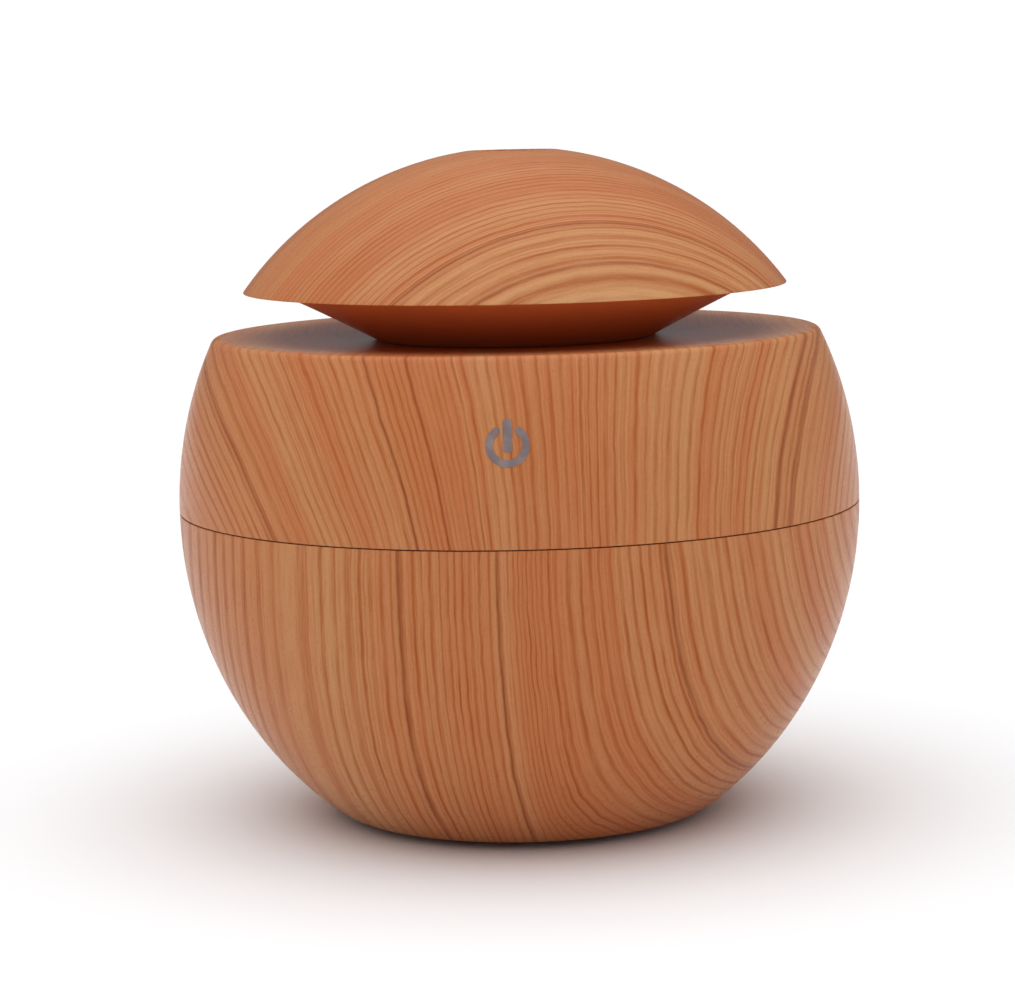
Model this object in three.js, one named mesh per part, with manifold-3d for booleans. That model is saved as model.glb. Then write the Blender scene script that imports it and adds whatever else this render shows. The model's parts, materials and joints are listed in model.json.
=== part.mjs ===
// Ultrasonic essential oil diffuser: a round, wood-grained bowl with a lift-off mushroom lid.
// Millimetres, +Z up, front (touch key) towards -Y, origin on the table under the middle.
import * as THREE from "three";
import { mergeVertices } from "three/addons/utils/BufferGeometryUtils.js";
import Module from "manifold-3d";

const wasm = await Module();
wasm.setup();

// ---------------------------------------------------------------- driving dimensions
const gap = 0.3;                 // clearance between pieces that touch or fit together
const runningGap = 0.1;          // radial clearance of the fan shaft in its bearing

// Body: each housing follows a quarter ellipse in section
const bodyRadius = 51;           // widest radius
const bodyWidestHeight = 47;     // height of the widest section
const bowlHalfHeight = 55.5;     // vertical half axis of the ellipse below the widest section
const bodyWall = 2;
const seamHeight = 46.85;        // joint between the lower and the upper housing
const bottomHeight = 0.9;        // lower edge of the bowl above the table
const bottomRimWidth = 2.9;      // flat rim under the bowl
const tongueDepth = 3;           // overlap of the housings at the seam
const tongueWall = 1.65;
const deckHeight = 72.5;
const deckDish = 0.9;            // the deck falls towards the mouth, so spilt water runs in
const deckRadius = 45.2;         // outline of the deck, before its edge is rounded
const deckThickness = 2.2;
const deckEdge = 1.8;            // rounding between wall and deck
const bowlEdge = 1.2;            // height of the rounding under the bowl
const coverLedge = 1.5;          // ledge of the bowl over the base cover, thickness and width
const collarDepth = 4.3;         // collar of the filling mouth below the deck's underside
const mouthRadius = 19.3;        // filling mouth

// Lid
const lidHeight = 26.9;          // outlet edge above the deck
const rimLift = 6.6;             // lid rim above the deck
const rimRadius = 40.6;
const domeWall = 1.9;
const outletRadius = 6.2;
const neckSeat = 1.5;            // width of the lid's seat on the deck, round the mouth
const flareRadius = 36;          // where the flared skirt runs out flat
const flareAngle = 28;           // degrees, slope of the skirt at the neck
const skirtWall = 1.8;
const spigotDepth = 7.5;         // spigot below the outline of the deck
const spigotWall = 2.2;
const spigotPlay = 0.7;          // spigot to mouth, closed by the silicone ring
const sealHeight = 1.4;
const sealDepth = 0.9;
const sealSeat = 2.3;            // groove above the end of the spigot
const spigotLip = 1.2;           // lip inside the spigot that carries the mist tube
const spigotLipThickness = 1;
const mistWall = 1.2;            // mist tube
const funnelFlange = 1.7;        // flange of the mist tube, outside its funnel
const funnelFlangeThickness = 1.5;
const funnelHeight = 12;

// Water tank
const tankRadius = 35.5;         // inside
const tankWall = 1.6;
const tankFloorHeight = 30.4;    // underside of the tank
const tankFloorFlat = 15.3;      // radius of the level middle of the floor
const tankFloorRise = 2.9;       // the floor rises outwards, so water runs to the middle
const tankFlangeWidth = 5.1;
const tankFlangeThickness = 2;
const tankSealHeight = 1.7;
const tankSealWidth = 2.6;
const tankBend = 3.2;            // bend between floor and wall, its width outside
const tankBendRise = 3.9;
const tankHole = 5.6;            // radius of the hole over the atomiser disc
const ductRadius = 4.6;          // inside
const ductWall = 1.4;
const ductCollarWall = 1.3;      // collar of the tank floor round the duct
const ductCollarHeight = 7;
const hoodWall = 1;
const hoodDepth = 6;
const hoodPlay = 0.7;            // way out for the air between duct and hood
const hoodLift = 1.4;            // way out for the air over the end of the duct
const hoodClearance = 0.8;       // hood to tank wall
const ribThickness = 1;
const postRadius = 2.2;          // screw posts of fan, lamps and touch key
const postEmbed = 1;             // how far posts run into the tank's floor

// Atomiser
const discRadius = 8;
const discThickness = 0.6;
const discSealHeight = 3;
const discSealLip = 1.8;         // how far the silicone ring laps over the disc's edge
const clampBase = 1.6;
const clampWall = 1.5;
const clampEarRadius = 2.1;
const clampStep = 0.2;           // ears above the floor of the clamp
const clampWeb = 1.6;            // half width of the webs that carry the ears
const sealSqueeze = 0.4;         // seal ring tighter than its lip is deep

// Fan
const fanSize = 25;
const fanThickness = 7;
const fanDrop = 3.8;             // fan below the tank floor
const fanClearance = 0.62;       // fan to atomiser clamp
const fanRim = 0.9;              // thinnest wall round the blades
const fanCorner = 2;
const fanPlate = 1;              // thickness of the fan's motor plate
const fanScrewInset = 2.25;
const fanHubRadius = 5.6;
const fanBlades = 7;
const fanBladeThickness = 0.8;
const fanBladePitch = 38;        // degrees
const shaftRadius = 0.75;
const bearingWall = 0.75;
const fanDuctWall = 1.2;

// Boards, inlet and leads
const boardThickness = 1.6;
const smallBoardThickness = 1;
const mainBoardHeight = 10;      // underside
const mainBoardRadius = 22.4;
const mainBoardTabWidth = 14;
const socketTailOnBoard = 8;     // length of the inlet that rests on the board
const ledBoardHeight = 26;       // underside
const ledBoardInner = 22;
const ledBoardWidth = 8;
const ledSize = 3;
const ledCount = 4;
const socketSize = 9;            // width and height of the inlet block
const socketLength = 11.5;
const socketNose = 4.3;          // radius of the round nose
const socketBore = 2.75;         // 5.5 mm barrel plug
const socketPinRadius = 1;
const socketInset = 1.5;         // inlet block behind the inside of the wall
const socketRecess = 0.4;        // nose behind the outside of the wall
const socketBoreDepth = 9.5;
const keyDrop = 12.5;            // middle of the touch key below the deck
const keyBoardInset = 2.2;       // touch board behind the wall
const keyScrewPlace = 5;
const keyPostRadius = 1.8;
const springWire = 0.25;
const springRadius = 2.3;
const springTurns = 2.5;
const springClearance = 0.4;     // spring to the curved wall
const keyBoardWidth = 15;
const keyBoardHeight = 11;
const leadRadius = 0.8;

// Base and fasteners
const coverRadius = 24.4;
const coverThickness = 2;
const coverHeight = 1.2;         // underside of the base cover
const legPlace = 18;             // distance of the long housing screws from the middle
const legRadius = 3.2;
const legAngles = [60, 180, 300];
const wellHeight = 6.3;          // top of the screw wells
const footRadius = 4;
const footThickness = 1.7;
const footRecess = 0.8;
const slotWidth = 1.6;
const slotPitch = 3;
const slotField = 9.5;           // radius of the slotted area
const pillarPlace = 13;
const pillarAngles = [0, 120, 240];
const bigScrew = { head: 2.7, headHeight: 1.7, shank: 1.35, length: 18 };
const midScrew = { head: 2.2, headHeight: 1.4, shank: 0.9, length: 4.4 };
const smallScrew = { head: 1.7, headHeight: 1, shank: 0.6, length: 4.2 };

const fine = 40;                 // segments of the large round pieces
const medium = 20;
const small = 12;
const coarse = 8;

// ---------------------------------------------------------------- materials
function finish(metalness, color, roughness) {
  return new THREE.MeshStandardMaterial({ color, roughness, metalness });
}
const plastic = (color, roughness = 0.5) => finish(0, color, roughness);
const metal = (color, roughness = 0.35) => finish(1, color, roughness);
const wood = plastic(0xc4885c, 0.32);
const darkWood = plastic(0x8a4a2c, 0.4);
const ivory = plastic(0xe6ded0, 0.45);
const milky = plastic(0xdfe6e8, 0.25);
const silicone = plastic(0xd8d4cc, 0.6);
const black = plastic(0x1c1c1e, 0.55);
const rubber = plastic(0x2a2a2c, 0.85);
const board = plastic(0x1f5a36, 0.5);
const whiteBoard = plastic(0xe8e8e4, 0.5);
const steel = metal(0xb8bcc0);
const brass = metal(0xc8a050);
const bronze = metal(0x9a6b3c, 0.5);
const copper = metal(0xb8683a, 0.4);
const ledLens = plastic(0xf2f0e6, 0.2);

// ---------------------------------------------------------------- shape helpers
const point = (x, y) => new THREE.Vector2(x, y);
const radians = THREE.MathUtils.degToRad;
const polar = (radius, degrees) => [radius * Math.cos(radians(degrees)), radius * Math.sin(radians(degrees))];

// A body of revolution about Z; the outline is [radius, height] pairs, counter-clockwise
function turned(outline, segments) {
  const closed = outline[0].x < 1e-6 ? outline : [...outline, outline[0].clone()];
  return new THREE.LatheGeometry(closed, segments).rotateX(Math.PI / 2);
}

function rod(radius, bottom, top, [x, y] = [0, 0], segments = coarse) {
  const geometry = new THREE.CylinderGeometry(radius, radius, top - bottom, segments);
  return geometry.rotateX(Math.PI / 2).translate(x, y, (top + bottom) / 2);
}

// A rod that runs along Y from one place to another, at height z
function rodAlongY(radius, from, to, x, z, segments = coarse) {
  return new THREE.CylinderGeometry(radius, radius, to - from, segments).translate(x, (from + to) / 2, z);
}

function block(low, high) {
  const size = high.map((value, axis) => value - low[axis]);
  const middle = high.map((value, axis) => (value + low[axis]) / 2);
  return new THREE.BoxGeometry(...size).translate(...middle);
}

function ring(inner, outer, bottom, top, segments = medium) {
  return turned([point(inner, bottom), point(outer, bottom), point(outer, top), point(inner, top)], segments);
}

function solid(geometry) {
  const bare = new THREE.BufferGeometry();
  bare.setAttribute("position", geometry.getAttribute("position"));
  bare.setIndex(geometry.index);
  const merged = mergeVertices(bare, 1e-4);
  return new wasm.Manifold(new wasm.Mesh({
    numProp: 3,
    vertProperties: merged.getAttribute("position").array,
    triVerts: new Uint32Array(merged.index.array),
  }));
}

function geometryOf(manifold) {
  const mesh = manifold.getMesh();
  const geometry = new THREE.BufferGeometry();
  geometry.setAttribute("position", new THREE.BufferAttribute(new Float32Array(mesh.vertProperties), 3));
  geometry.setIndex([...mesh.triVerts]);
  geometry.computeVertexNormals();
  return geometry;
}

// Joins a list of shapes to a base, then cuts another list of shapes away
function carved(base, added, removed = []) {
  let result = solid(base);
  added.forEach((shape) => { result = result.add(solid(shape)); });
  removed.forEach((shape) => { result = result.subtract(solid(shape)); });
  return geometryOf(result);
}

const diffuser = new THREE.Group();
const lid = new THREE.Group();
const body = new THREE.Group();
diffuser.add(lid, body);

function place(group, name, geometry, material) {
  const mesh = new THREE.Mesh(geometry, material);
  mesh.name = name;
  group.add(mesh);
  return mesh;
}

// ---------------------------------------------------------------- shared outlines
const deckShare = Math.sqrt(1 - (deckRadius / bodyRadius) ** 2);
const upperHalfHeight = (deckHeight - bodyWidestHeight) / deckShare;

// Radius of the body's surface at a height, at a depth under its outside
function radiusAt(height, depth) {
  const half = height > bodyWidestHeight ? upperHalfHeight : bowlHalfHeight;
  const rise = (height - bodyWidestHeight) / (half - depth);
  return (bodyRadius - depth) * Math.sqrt(1 - rise ** 2);
}
const outerAt = (height) => radiusAt(height, 0);
const innerAt = (height) => radiusAt(height, bodyWall);

// Points of a housing surface between two heights, from the first to the second
function surface(profile, from, to, steps) {
  const heights = Array.from({ length: steps + 1 }, (_, i) => from + ((to - from) * i) / steps);
  return heights.map((height) => point(profile(height), height));
}

// A rounded corner between two points, bulging towards the sharp corner
const corner = (from, sharp, to, steps) => new THREE.QuadraticBezierCurve(from, sharp, to).getPoints(steps);

// ---------------------------------------------------------------- lower housing (bowl)
const lowerTop = seamHeight - gap / 2;
const upperBottom = seamHeight + gap / 2;
const tongueOuter = innerAt(seamHeight) - gap / 6;
const tongueInner = tongueOuter - tongueWall;
const coverTop = coverHeight + coverThickness;
const ledgeBottom = coverTop + gap;
const ledgeTop = ledgeBottom + coverLedge;
const ledgeInner = coverRadius - coverLedge;
const socketHeight = mainBoardHeight + boardThickness + gap + socketSize / 2;
const socketBack = innerAt(mainBoardHeight + boardThickness + gap) - socketInset;

function lowerHousing() {
  const edge = bottomHeight + bowlEdge;
  const rimOuter = coverRadius + gap + bottomRimWidth;
  const bottomEdge = corner(
    point(rimOuter, bottomHeight),
    point(outerAt(bottomHeight), bottomHeight),
    point(outerAt(edge), edge),
    2,
  );
  const outline = [
    point(ledgeInner, ledgeBottom),
    point(coverRadius + gap, ledgeBottom),
    point(coverRadius + gap, bottomHeight),
    ...bottomEdge,
    ...surface(outerAt, edge, lowerTop, 7).slice(1),
    point(tongueOuter + gap, lowerTop),
    point(tongueOuter + gap, upperBottom - tongueDepth - gap),
    ...surface(innerAt, upperBottom - tongueDepth - gap, ledgeTop, 4),
    point(ledgeInner, ledgeTop),
  ];
  const inletHole = rodAlongY(socketNose + gap, socketBack - 1, bodyRadius, 0, socketHeight, medium);
  return carved(turned(outline, fine), [], [inletHole]);
}
place(body, "lower_housing", lowerHousing(), wood);

// ---------------------------------------------------------------- upper housing
const deckUnderside = deckHeight - deckThickness;
const mouthTop = deckHeight - deckDish;
const collarBottom = deckUnderside - collarDepth;
const tankOuter = tankRadius + tankWall;
const flangeOuter = tankOuter + tankFlangeWidth;
const flangeTop = deckUnderside - tankSealHeight - 2 * gap;
const flangeBottom = flangeTop - tankFlangeThickness;
const tankScrewPlace = tankOuter + tankFlangeWidth / 2;
const tankScrewAngles = [45, 135, 225, 315];
const pillarEmbed = 0.5;         // how far pillars run into the wall that carries them
const keyHeight = deckHeight - keyDrop;
const keyBoardFace = -innerAt(keyHeight + keyBoardHeight / 2) + keyBoardInset;

function upperHousing() {
  const shoulder = upperBottom + 4;
  const deckCorner = corner(
    point(outerAt(deckHeight - deckEdge), deckHeight - deckEdge),
    point(outerAt(deckHeight), deckHeight),
    point(outerAt(deckHeight) - deckEdge, deckHeight),
    3,
  );
  const outline = [
    point(tongueInner, upperBottom - tongueDepth),
    point(tongueOuter, upperBottom - tongueDepth),
    point(tongueOuter, upperBottom),
    ...surface(outerAt, upperBottom, deckHeight - deckEdge, 5).slice(0, -1),
    ...deckCorner,
    point(mouthRadius, mouthTop),
    point(mouthRadius, collarBottom),
    point(mouthRadius + tankWall, collarBottom),
    point(mouthRadius + tankWall, deckUnderside),
    ...surface(innerAt, deckUnderside, shoulder, 3),
    point(tongueInner, upperBottom + tongueWall),
  ];
  const pillars = tankScrewAngles.map((angle) =>
    rod(tankFlangeWidth / 2, flangeTop + gap, deckUnderside + pillarEmbed, polar(tankScrewPlace, angle)));
  const pilots = tankScrewAngles.map((angle) =>
    rod(midScrew.shank + gap, flangeTop, deckUnderside + 0.9, polar(tankScrewPlace, angle)));
  const keyPosts = [-keyScrewPlace, keyScrewPlace].map((x) =>
    rodAlongY(keyPostRadius, -innerAt(keyHeight) - pillarEmbed, keyBoardFace - gap, x, keyHeight, small));
  const keyPilots = [-keyScrewPlace, keyScrewPlace].map((x) =>
    rodAlongY(smallScrew.shank + gap, keyBoardFace - gap - 3, keyBoardFace, x, keyHeight, small));
  return carved(turned(outline, fine), [...pillars, ...keyPosts], [...pilots, ...keyPilots]);
}
place(body, "upper_housing", upperHousing(), wood);

// ---------------------------------------------------------------- lid
const outletHeight = deckHeight + lidHeight;
const rimHeight = deckHeight + rimLift;
const domeCentre = (rimRadius ** 2 + rimHeight ** 2 - outletRadius ** 2 - outletHeight ** 2)
  / (2 * (rimHeight - outletHeight));
const domeRadius = Math.hypot(rimRadius, rimHeight - domeCentre);
const domeInner = domeRadius - domeWall;
const domeInnerHeight = (radius) => domeCentre + Math.sqrt(domeInner ** 2 - radius ** 2);
const domeInnerRadius = (height) => Math.sqrt(domeInner ** 2 - (height - domeCentre) ** 2);

// Points on a sphere about the dome's centre, from one angle above the horizon to another
function domeArc(radius, from, to, steps) {
  return Array.from({ length: steps + 1 }, (_, i) => {
    const angle = from + ((to - from) * i) / steps;
    return point(radius * Math.cos(angle), domeCentre + radius * Math.sin(angle));
  });
}

function capDome() {
  const outer = domeArc(domeRadius, Math.asin((rimHeight - domeCentre) / domeRadius),
    Math.acos(outletRadius / domeRadius), 8);
  const inner = domeArc(domeInner, Math.acos(outletRadius / domeInner),
    Math.asin((rimHeight - domeCentre) / domeInner), 5);
  return turned([...outer, ...inner], fine);
}
place(lid, "cap_dome", capDome(), wood);

const spigotOuter = mouthRadius - spigotPlay;
const spigotInner = spigotOuter - spigotWall;
const spigotBottom = deckHeight - spigotDepth;
const sealBottom = spigotBottom + sealSeat;
const neckRadius = mouthRadius + neckSeat;

function capSkirt() {
  const seat = mouthTop + gap;
  const flareRise = rimHeight - seat;
  const control = point(neckRadius + flareRise / Math.tan(radians(flareAngle)), rimHeight);
  const flareEnd = point(flareRadius, rimHeight);
  const flare = new THREE.QuadraticBezierCurve(point(neckRadius, seat), control, flareEnd);
  const under = flare.getPoints(5);
  const above = Array.from({ length: 4 }, (_, i) => {
    const t = 1 - i / 3;
    const along = flare.getTangent(t);
    return flare.getPoint(t).add(point(-along.y, along.x).multiplyScalar(skirtWall));
  });
  const grooveFloor = spigotOuter - sealDepth;
  const outline = [
    point(spigotInner - spigotLip, spigotBottom),
    point(spigotOuter, spigotBottom),
    point(spigotOuter, sealBottom),
    point(grooveFloor, sealBottom),
    point(grooveFloor, sealBottom + sealHeight + 2 * gap),
    point(spigotOuter, sealBottom + sealHeight + 2 * gap),
    point(spigotOuter, seat),
    ...under,
    point(domeInnerRadius(rimHeight) - gap, rimHeight),
    point(domeInnerRadius(rimHeight + skirtWall) - gap, rimHeight + skirtWall),
    ...above,
    point(spigotInner, seat + skirtWall),
    point(spigotInner, spigotBottom + spigotLipThickness),
    point(spigotInner - spigotLip, spigotBottom + spigotLipThickness),
  ];
  return turned(outline, fine);
}
place(lid, "cap_skirt", capSkirt(), darkWood);

function mistTube() {
  const bottom = spigotBottom + spigotLipThickness + gap;
  const flange = bottom + funnelFlangeThickness;
  const flangeEnd = spigotInner - gap;
  const funnelRadius = flangeEnd - funnelFlange - mistWall;
  const outer = outletRadius + mistWall;
  const top = domeInnerHeight(outer) - gap;
  const throat = bottom + funnelHeight;
  return turned([
    point(funnelRadius, bottom),
    point(flangeEnd, bottom),
    point(flangeEnd, flange),
    point(funnelRadius + mistWall, flange),
    point(outer, throat + mistWall / 2),
    point(outer, top),
    point(outletRadius, top),
    point(outletRadius, throat),
  ], medium);
}
place(lid, "mist_tube", mistTube(), ivory);

const sealInner = spigotOuter - sealDepth + gap;
const lidSeal = ring(sealInner, mouthRadius - gap, sealBottom + gap, sealBottom + gap + sealHeight);
place(lid, "lid_seal", lidSeal, silicone);

// ---------------------------------------------------------------- fasteners
// A pan-head screw pointing up, with the underside of its head at height z
function screw(size) {
  return turned([
    point(0, -size.headHeight),
    point(size.head * 0.8, -size.headHeight),
    point(size.head, -size.headHeight * 0.5),
    point(size.head, 0),
    point(size.shank, 0),
    point(size.shank, size.length - size.shank),
    point(0, size.length),
  ], 8);
}

function addScrew(name, size, [x, y], z, pointsDown = false) {
  const mesh = place(body, name, screw(size), steel);
  mesh.position.set(x, y, z);
  mesh.rotation.x = pointsDown ? Math.PI : 0;
  return mesh;
}

// ---------------------------------------------------------------- water tank
const floorEdge = tankOuter - tankBend;
const floorSlope = tankFloorRise / (floorEdge - tankFloorFlat);
const clampTop = tankFloorHeight - gap;
const clampBottom = clampTop - discSealHeight - gap - clampBase;
const sealOuter = discRadius + discSealLip - sealSqueeze;
const clampOuter = sealOuter + gap + clampWall;
const earTop = clampBottom + clampBase + clampStep;
const earPlace = clampOuter + gap + clampEarRadius;
const earAngles = [30, 150, 270];
const earReach = earPlace * Math.cos(radians(earAngles[0])) + clampEarRadius;
const fanPlace = earReach + fanClearance + fanSize / 2;
const fanTop = clampTop - fanDrop;
const fanBottom = fanTop - fanThickness;
const fanFlangeTop = fanTop + gap + fanDuctWall;
const fanBore = fanSize / 2 - fanRim;
const fanScrews = [-1, 1].map((side) =>
  [fanPlace - fanSize / 2 + fanScrewInset, side * (fanSize / 2 - fanScrewInset)]);
const ductBottom = fanFlangeTop + fanDuctWall;
const hoodTop = spigotBottom - gap;
const ductTop = hoodTop - hoodWall - hoodLift - gap;
const ductOuter = ductRadius + ductWall;
const hoodInner = ductOuter + hoodPlay;
const ductPlace = tankRadius - hoodClearance - hoodWall - hoodInner;
const ledScrewPlace = ledBoardInner + ledBoardWidth / 2;
const ledScrewAngles = [133, 227];
const ledBoardTop = ledBoardHeight + smallBoardThickness;

function waterTank() {
  const underside = (radius) => tankFloorHeight + Math.max(0, radius - tankFloorFlat) * floorSlope;
  const floorTop = tankFloorHeight + tankWall;
  const bendTop = underside(floorEdge) + tankBendRise;
  const lean = tankWall / 2;     // keeps the floor and the bend as thick as the wall
  const outline = [
    point(tankHole, tankFloorHeight),
    point(tankFloorFlat, tankFloorHeight),
    point(floorEdge, underside(floorEdge)),
    point(tankOuter, bendTop),
    point(tankOuter, flangeBottom),
    point(flangeOuter, flangeBottom),
    point(flangeOuter, flangeTop),
    point(tankRadius, flangeTop),
    point(tankRadius, bendTop + lean),
    point(floorEdge - lean, underside(floorEdge) + tankWall),
    point(tankFloorFlat, floorTop),
    point(tankHole, floorTop),
  ];
  const post = (radius, bottom, distance, angle) =>
    rod(radius, bottom, underside(distance) + postEmbed, polar(distance, angle));
  const fanPostPlace = Math.hypot(...fanScrews[0]);
  const added = [
    ...legAngles.map((angle) => post(legRadius, wellHeight + gap, legPlace, angle)),
    ...earAngles.map((angle) => post(clampEarRadius, earTop + gap, earPlace, angle)),
    ...fanScrews.map((at) => rod(postRadius, fanFlangeTop + gap, underside(fanPostPlace) + postEmbed, at)),
    ...ledScrewAngles.map((angle) => post(postRadius, ledBoardTop + gap, ledScrewPlace, angle)),
    rod(ductOuter + gap + ductCollarWall, underside(ductPlace) + pillarEmbed,
      tankFloorHeight + ductCollarHeight, [ductPlace, 0], medium),
  ];
  const pilot = (size, bottom, length, at) => rod(size.shank + gap, bottom - 1, bottom + length, at, small);
  const removed = [
    rod(ductOuter + gap, ductBottom - 1, ductTop, [ductPlace, 0], medium),
    ...legAngles.map((angle) => pilot(bigScrew, wellHeight + gap, bigScrew.length, polar(legPlace, angle))),
    ...earAngles.map((angle) => pilot(smallScrew, earTop + gap, 3.3, polar(earPlace, angle))),
    ...fanScrews.map((at) => pilot(smallScrew, fanFlangeTop + gap, 3, at)),
    ...ledScrewAngles.map((angle) => pilot(smallScrew, ledBoardTop + gap, 4, polar(ledScrewPlace, angle))),
    ...tankScrewAngles.map((angle) =>
      pilot(midScrew, flangeBottom, tankFlangeThickness + 1, polar(tankScrewPlace, angle))),
  ];
  return carved(turned(outline, fine), added, removed);
}
place(body, "water_tank", waterTank(), milky);

const tankSealInner = tankScrewPlace - tankFlangeWidth / 2 - gap - tankSealWidth;
const tankSeal = ring(tankSealInner, tankSealInner + tankSealWidth, flangeTop + gap, deckUnderside - gap);
place(body, "tank_seal", tankSeal, silicone);
tankScrewAngles.forEach((angle, i) =>
  addScrew(`tank_screw_${i + 1}`, midScrew, polar(tankScrewPlace, angle), flangeBottom - gap));

const airDuct = ring(ductRadius, ductOuter, ductBottom, ductTop);
place(body, "air_duct", airDuct, ivory).position.x = ductPlace;

// Hood over the air duct: keeps splashes out, air leaves downwards around the duct
function ductHood() {
  const ribBottom = ductTop + gap;
  const roof = ribBottom + hoodLift;
  const ribs = [0, 60, 120].map((angle) => {
    const half = ribThickness / 2;
    const rib = block([-hoodInner, -half, ribBottom], [hoodInner, half, roof + hoodWall / 2]);
    return rib.rotateZ(radians(angle));
  });
  const shell = turned([
    point(0, roof),
    point(hoodInner, roof),
    point(hoodInner, ductTop - hoodDepth),
    point(hoodInner + hoodWall, ductTop - hoodDepth),
    point(hoodInner + hoodWall, roof + hoodWall),
    point(0, roof + hoodWall),
  ], medium);
  return carved(shell, ribs);
}
place(body, "duct_hood", ductHood(), ivory).position.x = ductPlace;

// ---------------------------------------------------------------- atomiser
const sealBase = clampTop - discSealHeight;
const discBottom = sealBase + (discSealHeight - discThickness) / 2;

function atomiserSeal() {
  const inner = discRadius - discSealLip;
  return turned([
    point(inner, sealBase),
    point(sealOuter, sealBase),
    point(sealOuter, clampTop),
    point(inner, clampTop),
    point(inner, discBottom + discThickness + gap),
    point(discRadius + gap, discBottom + discThickness + gap),
    point(discRadius + gap, discBottom - gap),
    point(inner, discBottom - gap),
  ], medium);
}
place(body, "atomiser_seal", atomiserSeal(), silicone);
place(body, "atomiser_disc", rod(discRadius, discBottom, discBottom + discThickness, [0, 0], medium), brass);

function atomiserClamp() {
  const opening = discRadius - discSealLip;
  const floor = clampBottom + clampBase;
  const cup = turned([
    point(opening, clampBottom),
    point(clampOuter, clampBottom),
    point(clampOuter, clampTop),
    point(sealOuter + gap, clampTop),
    point(sealOuter + gap, floor),
    point(opening, floor),
  ], medium);
  const ears = earAngles.map((angle) => rod(clampEarRadius, clampBottom, earTop, polar(earPlace, angle)));
  const webs = earAngles.map((angle) => {
    const web = block([clampOuter - clampWall / 2, -clampWeb, clampBottom], [earPlace, clampWeb, earTop]);
    return web.rotateZ(radians(angle));
  });
  const holes = earAngles.map((angle) =>
    rod(smallScrew.shank + gap, clampBottom - 1, earTop + 1, polar(earPlace, angle)));
  return carved(cup, [...webs, ...ears], holes);
}
place(body, "atomiser_clamp", atomiserClamp(), ivory);
earAngles.forEach((angle, i) =>
  addScrew(`clamp_screw_${i + 1}`, smallScrew, polar(earPlace, angle), clampBottom - gap));

// ---------------------------------------------------------------- fan
const bearingOuter = shaftRadius + runningGap + bearingWall;
const bearingLength = 2.9;
const bearingTop = 0.2;          // tube above the bearing
const bearingTube = 0.7;         // wall of the tube that holds the bearing
const statorHeight = 2.4;
const statorLift = 0.6;
const rotorWall = 0.7;
const rotorRoof = 0.8;
const rotorDrop = 0.5;           // rotor below the top of the frame
const rotorLift = 0.8;           // rotor above the motor plate
const bladeWidth = 5.2;
const bladeRoot = 0.4;           // how far a blade runs into the hub
const bladeTip = 0.6;            // clearance of the blades in the bore
const struts = [30, 150, 270];
const strutWidth = 1.6;

function fanFrame() {
  const half = fanSize / 2;
  const round = fanCorner;
  const outline = new THREE.Shape();
  outline.absarc(half - round, half - round, round, 0, Math.PI / 2);
  outline.absarc(round - half, half - round, round, Math.PI / 2, Math.PI);
  outline.absarc(round - half, round - half, round, Math.PI, 1.5 * Math.PI);
  outline.absarc(half - round, round - half, round, 1.5 * Math.PI, 2 * Math.PI);
  const options = { depth: fanThickness, bevelEnabled: false, curveSegments: 4 };
  const frame = new THREE.ExtrudeGeometry(outline, options).translate(0, 0, fanBottom);
  const bars = struts.map((angle) => {
    const bar = block([fanHubRadius / 2, -strutWidth / 2, fanBottom],
      [fanBore + fanRim / 2, strutWidth / 2, fanBottom + fanPlate]);
    return bar.rotateZ(radians(angle));
  });
  const tubeTop = fanBottom + fanPlate + gap + bearingLength + bearingTop;
  const bore = rod(fanBore, fanBottom - 1, fanTop + 1, [0, 0], medium);
  const motorPlate = rod(fanHubRadius - rotorWall, fanBottom, fanBottom + fanPlate, [0, 0], medium);
  const tube = rod(bearingOuter + gap + bearingTube, fanBottom, tubeTop, [0, 0], medium);
  const seat = rod(bearingOuter + gap, fanBottom + fanPlate, tubeTop + 1, [0, 0], medium);
  const screwHoles = [-1, 1].map((side) =>
    rod(smallScrew.shank + gap, fanBottom - 1, fanTop + 1,
      [fanScrewInset - half, side * (half - fanScrewInset)]));
  const hollow = solid(frame).subtract(solid(bore));
  const middle = [...bars, motorPlate, tube].reduce((sum, shape) => sum.add(solid(shape)), hollow);
  return geometryOf([seat, ...screwHoles].reduce((sum, shape) => sum.subtract(solid(shape)), middle));
}

function fanRotor() {
  const bottom = fanBottom + fanPlate + rotorLift;
  const top = fanTop - rotorDrop;
  const hub = turned([
    point(fanHubRadius - rotorWall, bottom),
    point(fanHubRadius, bottom),
    point(fanHubRadius, top),
    point(0, top),
    point(0, top - rotorRoof),
    point(fanHubRadius - rotorWall, top - rotorRoof),
  ], medium);
  const root = fanHubRadius - bladeRoot;
  const reach = fanBore - bladeTip - root;
  const blades = Array.from({ length: fanBlades }, (_, i) => {
    const blade = new THREE.BoxGeometry(reach, bladeWidth, fanBladeThickness);
    blade.rotateX(radians(fanBladePitch));
    blade.translate(root + reach / 2, 0, (bottom + top) / 2);
    return blade.rotateZ((2 * Math.PI * i) / fanBlades);
  });
  return carved(hub, blades);
}

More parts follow.
